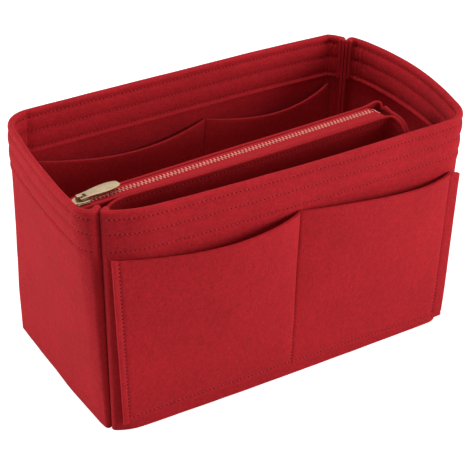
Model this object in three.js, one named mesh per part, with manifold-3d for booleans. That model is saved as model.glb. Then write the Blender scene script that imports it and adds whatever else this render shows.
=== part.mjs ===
// A felt organizer insert that stands inside a handbag. Millimetres, +Z up, front towards -Y.
// The origin is the middle of the base's underside.
// Two felt panels wrap the sides and meet in turned-in seams at the front left and back right corners.
// Patch pockets sit on the front and inside the back, and a zip compartment stands in the middle.

import * as THREE from "three";
import { mergeVertices } from "three/addons/utils/BufferGeometryUtils.js";
import Module from "manifold-3d";

const wasm = await Module();
wasm.setup();

// Overall sizes. The walls lean outwards and bow between the corners, so the rim is longer and wider.
const baseLength = 263;
const baseWidth = 142;
const rimLength = 287;
const rimWidth = 160;
const wallHeight = 163;

// Felt, and the gap that is left between pieces sewn against each other
const feltThickness = 2.0;
const seatGap = 0.3;

// Corner seams: how far the panels' ends run inwards, and how tightly they turn in
const seamAllowance = 3.0;
const seamRadiusAtBase = 5.0;
const seamRadiusAtRim = 7.5;
const bottomRounding = 2.0;

// Hem: the top of each wall turned in and stitched down flat
const hemDepth = 31.5;
const hemSlack = 0.4;
const hemThickness = 2 * feltThickness + hemSlack;

// Outside pockets on the front wall
const pocketFloorHeight = 11;
const pocketLeftHeight = 136;
const pocketDividerHeight = 131.5;
const pocketRightHeight = 122;
const pocketLeftDip = 7;
const pocketRightDip = 0.3;
const pocketLeftBelly = 8.5;
const pocketRightBelly = 7;
const pocketLeftLip = 4;
const pocketRightLip = 8.5;

// Pockets inside the back wall
const innerPocketFloorHeight = 4;
const innerPocketSideHeight = 126;
const innerPocketDividerHeight = 121;
const innerPocketDip = 8.5;
const innerPocketBelly = 7;

// Zip compartment: two felt panels joined at the right in a flange that stands towards the front
const zipHeight = 149.5;
const zipMiddleX = -10.5;
const zipMiddleY = -24.3;
const zipYaw = THREE.MathUtils.degToRad(4.1);
const compartmentFrontReach = 9.5;
const compartmentBackReach = 6.5;
const compartmentLean = 22;
const compartmentRightInset = 37.5;
const compartmentFlange = 15;
const compartmentBend = 6;
const compartmentCornerRun = 30;
const compartmentCornerShare = 0.4;
const compartmentEndShare = 0.6;
const panelTopRise = 0.6;

// Zip: tapes, chain, stops, slider and puller. Insets are measured from the zip's right end.
const tapeThickness = 0.8;
const tapeTurnDown = 7;
const tapeRightInset = 4.8;
const chainHeight = 2.6;
const chainHalfWidth = 3.0;
const chainMiddleGap = 0.9;
const chainRightInset = 4.0;
const toothPitch = 2.65;
const toothShare = 0.55;
const beadWidth = 1.0;
const stopLength = 2.4;
const stopGap = 0.4;
const sliderLength = 12;
const sliderPlate = 1.1;
const sliderClearance = 0.4;
const sliderSideClearance = 0.7;
const sliderFlange = 0.8;
const sliderWeb = 1.2;
const tapeSlotClearance = 0.4;
const bridgeWidth = 2.4;
const bridgeThickness = 1.1;
const bridgeSpan = 5.4;
const bridgeRise = 2.4;
const pullerLength = 29;
const pullerWidth = 8.8;
const pullerThickness = 1.3;
const pullerNeckWidth = 7.0;
const pullerBar = 1.4;
const pullerWindowLength = 3.8;
const pullerWindowWidth = 3.8;
const pullerWaistShare = 0.3;
const pullerBellyShare = 0.7;
const pullerTilt = THREE.MathUtils.degToRad(1.3);
const pullerYaw = THREE.MathUtils.degToRad(5.4);

const lerp = THREE.MathUtils.lerp;

// Materials
function felt(color) {
  return new THREE.MeshStandardMaterial({ color, roughness: 0.95, metalness: 0 });
}

function wovenTape() {
  return new THREE.MeshStandardMaterial({ color: 0xb02a33, roughness: 0.8, metalness: 0 });
}

function paleGold() {
  return new THREE.MeshStandardMaterial({ color: 0xd9bf97, roughness: 0.3, metalness: 1 });
}

function namedMesh(name, geometry, material) {
  const mesh = new THREE.Mesh(geometry, material);
  mesh.name = name;
  return mesh;
}

// Booleans on closed geometry
function toSolid(geometry) {
  const bare = geometry.clone();
  bare.deleteAttribute("normal");
  bare.deleteAttribute("uv");
  const merged = mergeVertices(bare);
  const vertProperties = Float32Array.from(merged.attributes.position.array);
  const triVerts = Uint32Array.from(merged.index.array);
  return new wasm.Manifold(new wasm.Mesh({ numProp: 3, vertProperties, triVerts }));
}

function toGeometry(solid) {
  const { vertProperties, triVerts } = solid.getMesh();
  const geometry = new THREE.BufferGeometry();
  geometry.setAttribute("position", new THREE.Float32BufferAttribute(vertProperties, 3));
  geometry.setIndex(Array.from(triVerts));
  geometry.computeVertexNormals();
  return geometry;
}

// Geometry from a row of equal closed loops, joined loop to loop and capped at both ends.
// Each loop runs up the right side of the direction of travel, over and down the left side.
// The caps are cut from capOutline, the loop's shape drawn with depth across and height upwards.
function skinLoops(loops, capOutline) {
  const count = capOutline.length;
  const positions = loops.flatMap((loop) => loop.flatMap((point) => [point.x, point.y, point.z]));
  const indices = [];
  for (let row = 0; row + 1 < loops.length; row += 1) {
    for (let column = 0; column < count; column += 1) {
      const a = row * count + column;
      const b = row * count + ((column + 1) % count);
      indices.push(a, a + count, b, b, a + count, b + count);
    }
  }
  const last = (loops.length - 1) * count;
  for (const [a, b, c] of THREE.ShapeUtils.triangulateShape(capOutline, [])) {
    indices.push(c, b, a, last + a, last + b, last + c);
  }
  const geometry = new THREE.BufferGeometry();
  geometry.setAttribute("position", new THREE.Float32BufferAttribute(positions, 3));
  geometry.setIndex(indices);
  geometry.computeVertexNormals();
  return geometry;
}

// Evenly spaced shares from 0 to 1, both ends included
function evenShares(steps) {
  return Array.from({ length: steps + 1 }, (_, index) => index / steps);
}

function plan(x, y) {
  return new THREE.Vector2(x, y);
}

// Points of a quadratic curve, without its last one, so that the next stretch can follow on
function curveRun(start, control, end, steps) {
  const curve = new THREE.QuadraticBezierCurve(start, control, end);
  return evenShares(steps).slice(0, -1).map((share) => curve.getPoint(share));
}

// Unit normals of a run of plan points, pointing to the left of its direction of travel
function leftNormals(points) {
  return points.map((point, index) => {
    const before = points[Math.max(index - 1, 0)];
    const after = points[Math.min(index + 1, points.length - 1)];
    const arriving = index > 0 ? point.clone().sub(before) : after.clone().sub(point);
    const leaving = index + 1 < points.length ? after.clone().sub(point) : arriving.clone();
    const direction = arriving.normalize().add(leaving.normalize()).normalize();
    return plan(-direction.y, direction.x);
  });
}

// A felt sheet that stands on a run: runAt(height) gives its plan points, and sectionAt(index, points)
// gives its closed section there as [depth, height] pairs, with depth to the left of the run.
function standingSheet(name, runAt, sectionAt, material) {
  const runs = new Map();
  const runAtHeight = (height) => {
    if (!runs.has(height)) {
      const points = runAt(height);
      runs.set(height, { points, normals: leftNormals(points) });
    }
    return runs.get(height);
  };
  const floorPoints = runAtHeight(0).points;
  const loops = floorPoints.map((_, index) => sectionAt(index, floorPoints).map(([depth, height]) => {
    const { points, normals } = runAtHeight(height);
    const place = points[index].clone().addScaledVector(normals[index], depth);
    return new THREE.Vector3(place.x, place.y, height);
  }));
  const outline = sectionAt(0, floorPoints).map(([depth, height]) => plan(depth, height));
  return namedMesh(name, skinLoops(loops, outline), material);
}

// A plain sheet's section: up its right face and down its left face, in equal steps of height
function sheetSection(rightDepthAt, thickness, bottom, top, steps) {
  const heights = evenShares(steps).map((share) => lerp(bottom, top, share));
  const rightFace = heights.map((height) => [rightDepthAt(height), height]);
  const leftFace = heights.map((height) => [rightDepthAt(height) + thickness, height]).reverse();
  return [...rightFace, ...leftFace];
}

// Plan of a wrap panel's outside face, drawn as the front wall and the right end. The back panel is
// drawn the same way and turned half way round. Places are shares of half the length and half the width.
const frontLeftSeamShares = {
  base: [0.922, 0.86],
  rim: [0.899, 0.8125],
};
const backRightSeamShares = {
  base: [0.935, 0.875],
  rim: [0.905, 0.83],
};
const frontBaseShares = {
  bendStart: [0.915, 0.995],
  bendCorner: [0.985, 0.985],
  bendEnd: [0.995, 0.8],
  wallBow: [-0.2, 1],
  endBow: [1, 0.15],
};
const frontRimShares = {
  bendStart: [0.825, 0.9025],
  bendCorner: [0.93, 0.881],
  bendEnd: [0.965, 0.6375],
  wallBow: [-0.2, 1.0475],
  endBow: [1.095, 0.1375],
};
const backBaseShares = {
  bendStart: [0.92, 1],
  bendCorner: [1.015, 1],
  bendEnd: [1.015, 0.84],
  wallBow: [-0.2, 1],
  endBow: [0.985, 0.15],
};
const backRimShares = {
  bendStart: [0.8055, 0.9306],
  bendCorner: [0.9066, 0.908],
  bendEnd: [0.931, 0.664],
  wallBow: [-0.38, 1.035],
  endBow: [1.011, 0.1106],
};
const frontWalls = {
  base: frontBaseShares,
  rim: frontRimShares,
  leftSeam: frontLeftSeamShares,
  rightSeam: backRightSeamShares,
};
const backWalls = {
  base: backBaseShares,
  rim: backRimShares,
  leftSeam: backRightSeamShares,
  rightSeam: frontLeftSeamShares,
};

// A place at one height, straight between base and rim because the felt stands flat upwards
function placeAt(baseShares, rimShares, height, signX, signY) {
  const rise = height / wallHeight;
  const x = lerp((baseShares[0] * baseLength) / 2, (rimShares[0] * rimLength) / 2, rise);
  const y = lerp((baseShares[1] * baseWidth) / 2, (rimShares[1] * rimWidth) / 2, rise);
  return plan(signX * x, signY * y);
}

function wallPlace(walls, key, height, signX, signY) {
  return placeAt(walls.base[key], walls.rim[key], height, signX, signY);
}

function seamPlace(seam, height, sign) {
  return placeAt(seam.base, seam.rim, height, sign, sign);
}

function seamRadius(height) {
  return lerp(seamRadiusAtBase, seamRadiusAtRim, height / wallHeight);
}

// The centres that a wrap panel's two ends turn about
function leftSeamCentre(walls, height) {
  const aside = plan(1, -1).setLength(seatGap / 2 + seamRadius(height));
  return seamPlace(walls.leftSeam, height, -1).add(aside);
}

function rightSeamCentre(walls, height) {
  const aside = plan(1, -1).setLength(seatGap / 2 + seamRadius(height));
  return seamPlace(walls.rightSeam, height, 1).add(aside);
}

// The long wall's outside face, from the end of the left seam's turn to the start of the bend
function longWallCurve(walls, height) {
  const start = leftSeamCentre(walls, height).sub(plan(0, seamRadius(height)));
  const bow = wallPlace(walls, "wallBow", height, 1, -1);
  return new THREE.QuadraticBezierCurve(start, bow, wallPlace(walls, "bendStart", height, 1, -1));
}

// The short end wall's outside face, from the end of the bend to the start of the right seam's turn
function endWallCurve(walls, height) {
  const end = rightSeamCentre(walls, height).add(plan(seamRadius(height), 0));
  const bow = wallPlace(walls, "endBow", height, 1, 1);
  return new THREE.QuadraticBezierCurve(wallPlace(walls, "bendEnd", height, 1, -1), bow, end);
}

// The turn of three eighths of a circle between a wall and a seam, from an angle onwards
function seamTurn(centre, radius, fromAngle, steps) {
  const wholeTurn = (3 / 4) * Math.PI;
  return evenShares(steps).map((share) => {
    const angle = fromAngle + share * wholeTurn;
    return plan(Math.cos(angle), Math.sin(angle)).multiplyScalar(radius).add(centre);
  });
}

// The outside face of a panel's two walls and the bend between them, without the seams
function wallRun(walls, height) {
  const wall = longWallCurve(walls, height);
  const end = endWallCurve(walls, height);
  return [
    ...curveRun(wall.v0, wall.v1, wall.v2, 12),
    ...curveRun(wall.v2, wallPlace(walls, "bendCorner", height, 1, -1), end.v0, 5),
    ...curveRun(end.v0, end.v1, end.v2, 8),
    end.v2,
  ];
}

// The outside face of one whole wrap panel at one height, from its left seam to its right one
function wrapRun(walls, height) {
  const radius = seamRadius(height);
  const inwards = plan(1, 1).setLength(seamAllowance);
  const firstTurn = seamTurn(leftSeamCentre(walls, height), radius, (3 / 4) * Math.PI, 4);
  const lastTurn = seamTurn(rightSeamCentre(walls, height), radius, 0, 4);
  return [
    firstTurn[0].clone().add(inwards),
    ...firstTurn.slice(0, -1),
    ...wallRun(walls, height),
    ...lastTurn.slice(1),
    lastTurn[lastTurn.length - 1].clone().sub(inwards),
  ];
}

// A wall's section runs up the outside, over the folded rim, down the hem and down the inside
function wrapSection() {
  const foldRadius = hemThickness / 2;
  const foldCentre = wallHeight - foldRadius;
  const hemEdge = wallHeight - hemDepth;
  const outside = [bottomRounding, hemEdge / 2, hemEdge].map((height) => [0, height]);
  const fold = evenShares(5).map((share) => {
    const angle = Math.PI * (1 - share);
    return [foldRadius + foldRadius * Math.cos(angle), foldCentre + foldRadius * Math.sin(angle)];
  });
  const hem = [[hemThickness, hemEdge], [feltThickness, hemEdge]];
  const inside = [[feltThickness, hemEdge / 2], [feltThickness, 0], [bottomRounding / 2, 0]];
  return [...outside, ...fold, ...hem, ...inside];
}

function frontWrapPanel() {
  const run = (height) => wrapRun(frontWalls, height);
  return standingSheet("front_wrap_panel", run, wrapSection, felt(0xb22632));
}

// Back wall and left end
function backWrapPanel() {
  const run = (height) => wrapRun(backWalls, height);
  const mesh = standingSheet("back_wrap_panel", run, wrapSection, felt(0xb22632));
  mesh.rotation.z = Math.PI;
  return mesh;
}

// Base: one felt rectangle sewn inside the walls, with its corners cut off short of the two seams
function basePanel() {
  const insideRun = (walls) => {
    const run = wallRun(walls, 0);
    const normals = leftNormals(run);
    return run.map((point, index) => {
      return point.clone().addScaledVector(normals[index], feltThickness + seatGap);
    });
  };
  const reach = (seam) => {
    const tip = seamPlace(seam, 0, 1);
    return (tip.x + tip.y) / Math.SQRT2 - seamAllowance - seatGap;
  };
  const behind = insideRun(backWalls).map((point) => point.negate());
  const shape = new THREE.Shape([...insideRun(frontWalls), ...behind]);
  const slab = new THREE.ExtrudeGeometry(shape, { depth: feltThickness, bevelEnabled: false });
  const cutLength = 2 * Math.min(reach(frontWalls.leftSeam), reach(frontWalls.rightSeam));
  const cut = new THREE.BoxGeometry(cutLength, 2 * baseLength, 2 * hemDepth).rotateZ(Math.PI / 4);
  return namedMesh("base_panel", toGeometry(toSolid(slab).intersect(toSolid(cut))), felt(0x9c1f2a));
}

// Patch pockets: one sheet with two pockets side by side and a stitched divider between them.
// A divider share is the divider's place along the wall's curve, and a peak share is the place where a
// pocket's belly is deepest on the way across it.
const pocketSteps = 13;
const frontDividerShare = 0.555;
const frontPeakShares = { left: 0.7, right: 0.55 };
const innerDividerShare = 0.53;
const innerPeakShare = 0.5;

// The pocket that a point of the sheet belongs to, and its share of the way across that pocket
function withinPocket(index) {
  const side = index < pocketSteps ? "left" : "right";
  return { side, share: (side === "left" ? index : index - pocketSteps) / pocketSteps };
}

function pocketPoints(wall, dividerShare) {
  const left = evenShares(pocketSteps).map((share) => wall.getPoint(share * dividerShare));
  const right = evenShares(pocketSteps).map((share) => wall.getPoint(lerp(dividerShare, 1, share)));
  return [...left, ...right.slice(1)];
}

// How far a pocket bellies at a share of the way across it, from 0 at its sides to 1 at its peak
function pocketBump(share, peakShare) {
  const power = Math.log(1 / 2) / Math.log(peakShare);
  return Math.sin(Math.PI * share ** power);
}

function pocketTop(side, share, heights, dips) {
  const edge = side === "left" ? lerp(heights.left, heights.divider, share)
    : lerp(heights.divider, heights.right, share);
  return edge - dips[side] * Math.sin(Math.PI * share) ** (3 / 4);
}

// The belly fills quickly above the sewn floor and then slowly towards the top
function bellyDepth(height, floorHeight, top, belly) {
  const rise = (height - floorHeight) / (top - floorHeight);
  return (belly * (rise + Math.sin((Math.PI / 2) * rise))) / 2;
}

// Outside pockets. The sheet's two ends run straight on past the wall's turns and stand free.
function frontPocketPanel() {
  const heights = { left: pocketLeftHeight, divider: pocketDividerHeight, right: pocketRightHeight };
  const dips = { left: pocketLeftDip, right: pocketRightDip };
  const bellies = { left: pocketLeftBelly, right: pocketRightBelly };
  const run = (height) => {
    const wall = longWallCurve(frontWalls, height);
    const leftLip = wall.v0.clone().addScaledVector(wall.getTangent(0), -pocketLeftLip);
    const rightLip = wall.v2.clone().addScaledVector(wall.getTangent(1), pocketRightLip);
    return [leftLip, ...pocketPoints(wall, frontDividerShare), rightLip];
  };
  const section = (index, points) => {
    const onWall = THREE.MathUtils.clamp(index - 1, 0, points.length - 3);
    const { side, share } = withinPocket(onWall);
    const top = pocketTop(side, share, heights, dips);
    const belly = bellies[side] * pocketBump(share, frontPeakShares[side]);
    const faceDepth = (height) => {
      return -seatGap - feltThickness - bellyDepth(height, pocketFloorHeight, top, belly);
    };
    return sheetSection(faceDepth, feltThickness, pocketFloorHeight, top, 4);
  };
  return standingSheet("front_pocket_panel", run, section, felt(0xb22632));
}

// Pockets inside the back wall, built inside the front wall and turned half way round
function backInnerPocketPanel() {
  const heights = {
    left: innerPocketSideHeight,
    divider: innerPocketDividerHeight,
    right: innerPocketSideHeight,
  };
  const dips = { left: innerPocketDip, right: innerPocketDip };
  const run = (height) => pocketPoints(longWallCurve(backWalls, height), innerDividerShare);
  const section = (index) => {
    const { side, share } = withinPocket(index);
    const top = pocketTop(side, share, heights, dips);
    const belly = innerPocketBelly * pocketBump(share, innerPeakShare);
    const faceDepth = (height) => {
      return feltThickness + seatGap + bellyDepth(height, innerPocketFloorHeight, top, belly);
    };
    return sheetSection(faceDepth, feltThickness, innerPocketFloorHeight, top, 4);
  };
  const mesh = standingSheet("back_inner_pocket_panel", run, section, felt(0x9c1f2a));
  mesh.rotation.z = Math.PI;
  return mesh;
}

// Zip compartment. Its plan at one height is the zip's line moved back by the lean at that height.
function compartmentLineY(x, height) {
  const setBack = compartmentLean * (1 - height / zipHeight);
  return zipMiddleY + (x - zipMiddleX) * Math.tan(zipYaw) + setBack;
}

const compartmentRightX = rimLength / 2 - compartmentRightInset;
const compartmentFloor = feltThickness + seatGap;
const compartmentTop = zipHeight + panelTopRise;

// The front end of the flange, where both panels are sewn together
function flangeTipY(height) {
  return compartmentLineY(compartmentRightX, height) - compartmentFrontReach - compartmentFlange;
}

// The panels' top edge is level, and rounds down over the flange's last stretch
function compartmentTopAt(point) {
  const roundness = compartmentFlange - compartmentBend / 2;
  const fromTip = point.y - flangeTipY(0);
  if (point.x < compartmentRightX - compartmentBend || fromTip > roundness) {
    return compartmentTop;
  }
  const past = roundness - Math.max(fromTip, 0);
  return compartmentTop - roundness + Math.sqrt(roundness ** 2 - past ** 2);
}

function compartmentSection(index, points) {
  const top = compartmentTopAt(points[index]);
  return sheetSection(() => 0, feltThickness, compartmentFloor, top, 3);
}

// Front panel: from the front left seam, round to the zip's line, along it and out along the flange
function zipPocketFrontPanel() {
  const run = (height) => {
    const seamTip = seamPlace(frontWalls.leftSeam, height, -1)
      .add(plan(1, 1).setLength(seamAllowance + seatGap + feltThickness / 2))
      .add(plan(1, -1).setLength(feltThickness / 2));
    const frontY = (x) => compartmentLineY(x, height) - compartmentFrontReach;
    const turnEndX = seamTip.x + compartmentCornerRun;
    const turnX = lerp(seamTip.x, turnEndX, compartmentCornerShare);
    const flangeX = compartmentRightX - feltThickness - seatGap;
    const bendX = flangeX - compartmentBend;
    const bendY = frontY(flangeX) - compartmentBend;
    const tip = plan(flangeX, flangeTipY(height));
    return [
      ...curveRun(seamTip, plan(turnX, frontY(turnX)), plan(turnEndX, frontY(turnEndX)), 6),
      ...curveRun(plan(turnEndX, frontY(turnEndX)), plan(0, frontY(0)), plan(bendX, frontY(bendX)), 4),
      ...curveRun(plan(bendX, frontY(bendX)), plan(flangeX, frontY(flangeX)), plan(flangeX, bendY), 5),
      plan(flangeX, bendY),
      plan(flangeX, (bendY + tip.y) / 2),
      tip,
    ];
  };
  return standingSheet("zip_pocket_front_panel", run, compartmentSection, felt(0xa2202b));
}

// Back panel: from the left end wall along behind the zip, and forwards to the same flange
function zipPocketBackPanel() {
  const run = (height) => {
    const backY = (x) => compartmentLineY(x, height) + compartmentBackReach;
    const wall = endWallCurve(backWalls, height);
    const wallX = -wall.getPoint(compartmentEndShare).x + hemThickness + seatGap;
    const bendX = compartmentRightX - compartmentBend;
    const corner = plan(compartmentRightX, backY(compartmentRightX));
    const bendY = corner.y - compartmentBend;
    const tip = plan(compartmentRightX, flangeTipY(height));
    return [
      ...curveRun(plan(wallX, backY(wallX)), plan(0, backY(0)), plan(bendX, backY(bendX)), 6),
      ...curveRun(plan(bendX, backY(bendX)), corner, plan(compartmentRightX, bendY), 5),
      ...evenShares(6).map((share) => plan(compartmentRightX, lerp(bendY, tip.y, share))),
    ];
  };
  return standingSheet("zip_pocket_back_panel", run, compartmentSection, felt(0xa2202b));
}

// Zip. Its own frame has X along the chain, Y to the back and Z up, with the chain's middle at zero.
// Its right end is inside the compartment's right end.
const tapeRightReach = (compartmentRightX - tapeRightInset - zipMiddleX) / Math.cos(zipYaw);
const chainRightReach = tapeRightReach - chainRightInset;

// Its left end meets the hem inside the left wall. The back edge of the back tape gets there first.
function tapeLeftReach() {
  const height = zipHeight - tapeTurnDown;
  const wall = endWallCurve(backWalls, height);
  const backEdgeY = compartmentLineY(-rimLength / 2, zipHeight) + compartmentBackReach;
  const offTarget = (point) => Math.abs(point.y + backEdgeY);
  const places = evenShares(60).map((share) => wall.getPoint(share));
  const place = places.reduce((best, point) => (offTarget(point) < offTarget(best) ? point : best));
  const insideX = hemThickness + seatGap - place.x;
  return (zipMiddleX - insideX - compartmentBackReach * Math.sin(zipYaw)) / Math.cos(zipYaw);
}

function sliderCentreX() {
  return stopGap + sliderLength / 2 + stopLength + seatGap - tapeLeftReach();
}

// A flat outline in X and Y, thickened upwards about the zip's level
function flatPiece(outline, thickness) {
  const shape = new THREE.Shape(outline.map(([x, y]) => plan(x, y)));
  const geometry = new THREE.ExtrudeGeometry(shape, { depth: thickness, bevelEnabled: false });
  return geometry.translate(0, 0, -thickness / 2);
}

// An outline in Y and Z, carried along X
function alongZip(outline, startX, length) {
  const shape = new THREE.Shape(outline.map(([y, z]) => plan(y, z)));
  const geometry = new THREE.ExtrudeGeometry(shape, { depth: length, bevelEnabled: false });
  return geometry.rotateZ(Math.PI / 2).rotateY(Math.PI / 2).translate(startX, 0, 0);
}

// Tapes: flat beside the chain, then turned down behind the felt that they are sewn to.
// side is -1 at the front and 1 at the back.
function zipTape(name, side) {
  const reach = side < 0 ? compartmentFrontReach - feltThickness : compartmentBackReach;
  const inner = chainHalfWidth + seatGap;
  const outer = reach - seatGap;
  const half = tapeThickness / 2;
  const setBack = (compartmentLean * tapeTurnDown) / zipHeight;
  const outline = [
    [side * inner, half],
    [side * outer, half],
    [side * outer + setBack, half - tapeTurnDown],
    [side * (outer - tapeThickness) + setBack, half - tapeTurnDown],
    [side * (outer - tapeThickness), -half],
    [side * inner, -half],
  ];
  const length = tapeLeftReach() + tapeRightReach;
  return namedMesh(name, alongZip(outline, -tapeLeftReach(), length), wovenTape());
}

// One row of teeth, joined by the bead that they grip. The rows stand half a pitch out of step.
function zipTeeth(name, side) {
  const startX = sliderCentreX() - sliderLength / 2;
  const phase = side < 0 ? 0 : toothPitch / 2;
  const toothCount = Math.floor((chainRightReach - startX - phase) / toothPitch);
  const toothLength = toothPitch * toothShare;
  const bead = chainHalfWidth - beadWidth;
  const outline = [[startX, chainHalfWidth]];
  for (let tooth = 0; tooth < toothCount; tooth += 1) {
    const toothX = startX + phase + seatGap + tooth * toothPitch;
    outline.push([toothX, bead], [toothX, chainMiddleGap]);
    outline.push([toothX + toothLength, chainMiddleGap], [toothX + toothLength, bead]);
  }
  outline.splice(1, 0, [startX, bead]);
  outline.push([chainRightReach, bead], [chainRightReach, chainHalfWidth]);
  const sided = outline.map(([x, y]) => [x, side * y]);
  return namedMesh(name, flatPiece(sided, chainHeight), paleGold());
}

// Stops: a crimped block on each row at the left, and one across both rows at the right
function zipStop(name, startX, nearY, farY) {
  const outline = [
    [startX, nearY],
    [startX + stopLength, nearY],
    [startX + stopLength, farY],
    [startX, farY],
  ];
  return namedMesh(name, flatPiece(outline, chainHeight), paleGold());
}

// Slider: two plates with side flanges over the chain, joined by a web that runs between the rows
const sliderPlateTop = chainHeight / 2 + sliderClearance + sliderPlate;

function sliderBody() {
  const web = sliderWeb / 2;
  const side = chainHalfWidth + sliderSideClearance + sliderFlange;
  const channel = chainHalfWidth + sliderSideClearance;
  const ceiling = sliderPlateTop - sliderPlate;
  const slot = tapeThickness / 2 + tapeSlotClearance;
  const quarter = [
    [web, ceiling],
    [channel, ceiling],
    [channel, slot],
    [side, slot],
    [side, sliderPlateTop],
  ];
  const mirrored = (signY, signZ) => quarter.map(([y, z]) => [signY * y, signZ * z]);
  const outline = [
    ...mirrored(1, 1),
    ...mirrored(-1, 1).reverse(),
    ...mirrored(-1, -1),
    ...mirrored(1, -1).reverse(),
  ];
  const body = toSolid(alongZip(outline, -sliderLength / 2, sliderLength));
  const arch = new THREE.Shape();
  const halfSpan = bridgeSpan / 2;
  const halfOuter = halfSpan + bridgeThickness;
  arch.moveTo(-halfOuter, 0);
  arch.lineTo(-halfOuter, bridgeRise);
  arch.lineTo(-halfSpan, bridgeRise + bridgeThickness);
  arch.lineTo(halfSpan, bridgeRise + bridgeThickness);
  arch.lineTo(halfOuter, bridgeRise);
  arch.lineTo(halfOuter, 0);
  arch.lineTo(halfSpan, 0);
  arch.lineTo(halfSpan, bridgeRise);
  arch.lineTo(-halfSpan, bridgeRise);
  arch.lineTo(-halfSpan, 0);
  const sunk = sliderPlate / 2;
  const bridge = new THREE.ExtrudeGeometry(arch, { depth: bridgeWidth, bevelEnabled: false });
  bridge.rotateX(Math.PI / 2).translate(0, bridgeWidth / 2, sliderPlateTop);
  const feet = [-1, 1].map((end) => {
    const foot = new THREE.BoxGeometry(bridgeThickness, bridgeWidth, sunk * 2);
    return foot.translate(end * (halfSpan + bridgeThickness / 2), 0, sliderPlateTop);
  });
  const whole = [bridge, ...feet].reduce((solid, piece) => solid.add(toSolid(piece)), body);
  return namedMesh("slider_body", toGeometry(whole), paleGold());
}

// Puller: a flat leaf with a window at its root. The bar beyond the window lies under the bridge.
// Its own frame has the hinge at the origin and the leaf along X.
function puller() {
  const rootX = -pullerBar / 2;
  const windowStart = pullerBar / 2;
  const windowEnd = windowStart + pullerWindowLength;
  const neck = pullerNeckWidth / 2;
  const widest = pullerWidth / 2;
  const tipX = rootX + pullerLength;
  const tip = pullerWidth / 4;
  const waistX = lerp(windowEnd, tipX, pullerWaistShare);
  const bellyX = lerp(windowEnd, tipX, pullerBellyShare);
  const leaf = new THREE.Shape();
  leaf.moveTo(rootX, -neck);
  leaf.lineTo(windowEnd, -neck);
  leaf.quadraticCurveTo(waistX, -neck, bellyX, -widest);
  leaf.quadraticCurveTo(tipX, -widest, tipX, -tip);
  leaf.lineTo(tipX, tip);
  leaf.quadraticCurveTo(tipX, widest, bellyX, widest);
  leaf.quadraticCurveTo(waistX, neck, windowEnd, neck);
  leaf.lineTo(rootX, neck);
  const halfWindow = pullerWindowWidth / 2;
  const windowHole = new THREE.Path();
  windowHole.moveTo(windowStart, -halfWindow);
  windowHole.lineTo(windowStart, halfWindow);
  windowHole.lineTo(windowEnd, halfWindow);
  windowHole.lineTo(windowEnd, -halfWindow);
  leaf.holes.push(windowHole);
  const options = { depth: pullerThickness, bevelEnabled: false, curveSegments: 6 };
  const geometry = new THREE.ExtrudeGeometry(leaf, options).translate(0, 0, -pullerThickness / 2);
  return namedMesh("puller", geometry, paleGold());
}

// The slider stands against the top stops, and the puller lies back over the closed chain
function sliderWithPuller() {
  const slider = new THREE.Group();
  slider.position.x = sliderCentreX();
  const hinge = new THREE.Group();
  hinge.position.z = sliderPlateTop + bridgeRise / 2;
  hinge.rotation.order = "ZYX";
  hinge.rotation.z = pullerYaw;
  hinge.rotation.y = -pullerTilt;
  hinge.add(puller());
  return slider.add(sliderBody(), hinge);
}

function zipAssembly() {
  const zip = new THREE.Group();
  zip.position.set(zipMiddleX, zipMiddleY, zipHeight);
  zip.rotation.z = zipYaw;
  const topStopX = sliderCentreX() - sliderLength / 2 - stopGap - stopLength;
  const bottomStopX = chainRightReach + seatGap;
  zip.add(zipTape("zip_tape_front", -1), zipTape("zip_tape_back", 1));
  zip.add(zipTeeth("zip_teeth_front", -1), zipTeeth("zip_teeth_back", 1));
  zip.add(zipStop("zip_top_stop_front", topStopX, -chainHalfWidth, -chainMiddleGap));
  zip.add(zipStop("zip_top_stop_back", topStopX, chainMiddleGap, chainHalfWidth));
  zip.add(zipStop("zip_bottom_stop", bottomStopX, -chainHalfWidth, chainHalfWidth));
  return zip.add(sliderWithPuller());
}

export default new THREE.Group().add(
  frontWrapPanel(),
  backWrapPanel(),
  basePanel(),
  frontPocketPanel(),
  backInnerPocketPanel(),
  zipPocketFrontPanel(),
  zipPocketBackPanel(),
  zipAssembly(),
);
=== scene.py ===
# A red felt organizer insert, dressed for rendering. Metres, front towards -Y, base on the floor.
import math

import bmesh
import bpy
from mathutils import Matrix, Vector, noise


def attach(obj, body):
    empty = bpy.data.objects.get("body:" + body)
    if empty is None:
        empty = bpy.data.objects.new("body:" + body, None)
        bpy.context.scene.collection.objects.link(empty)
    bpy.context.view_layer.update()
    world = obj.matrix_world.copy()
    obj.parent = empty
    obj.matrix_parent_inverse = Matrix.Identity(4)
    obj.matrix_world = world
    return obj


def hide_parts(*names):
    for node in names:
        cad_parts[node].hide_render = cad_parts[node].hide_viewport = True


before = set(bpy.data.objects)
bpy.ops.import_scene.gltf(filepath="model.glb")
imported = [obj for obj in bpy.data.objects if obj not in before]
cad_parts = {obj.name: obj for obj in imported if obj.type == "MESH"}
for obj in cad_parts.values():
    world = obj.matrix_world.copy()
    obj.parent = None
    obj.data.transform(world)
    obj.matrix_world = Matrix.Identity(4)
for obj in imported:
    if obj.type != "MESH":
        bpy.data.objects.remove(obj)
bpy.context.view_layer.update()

# Wrap panels: two long strips of thick red felt. Each makes one long wall and the short end beside it,
# and its top is turned in and stitched down flat as a hem. The strips meet in turned-in seams at the
# front left and back right corners.
mm = 0.001
half_unit = 0.5
base_length = 263 * mm
base_width = 142 * mm
rim_length = 287 * mm
rim_width = 160 * mm
wall_height = 163 * mm
felt_thickness = 2 * mm
sewn_gap = 0.3 * mm
seam_gap = 0.05 * mm
seam_allowance = 4 * mm
tip_point_share = 0.4
front_left_spread = 0.7 * mm
back_right_spread = 0.25 * mm
hem_depth = 30 * mm
hem_thickness = 4.4 * mm
hem_edge_height = wall_height - hem_depth
hem_row_heights = [157.7 * mm, 147.4 * mm, 135.5 * mm]
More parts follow.
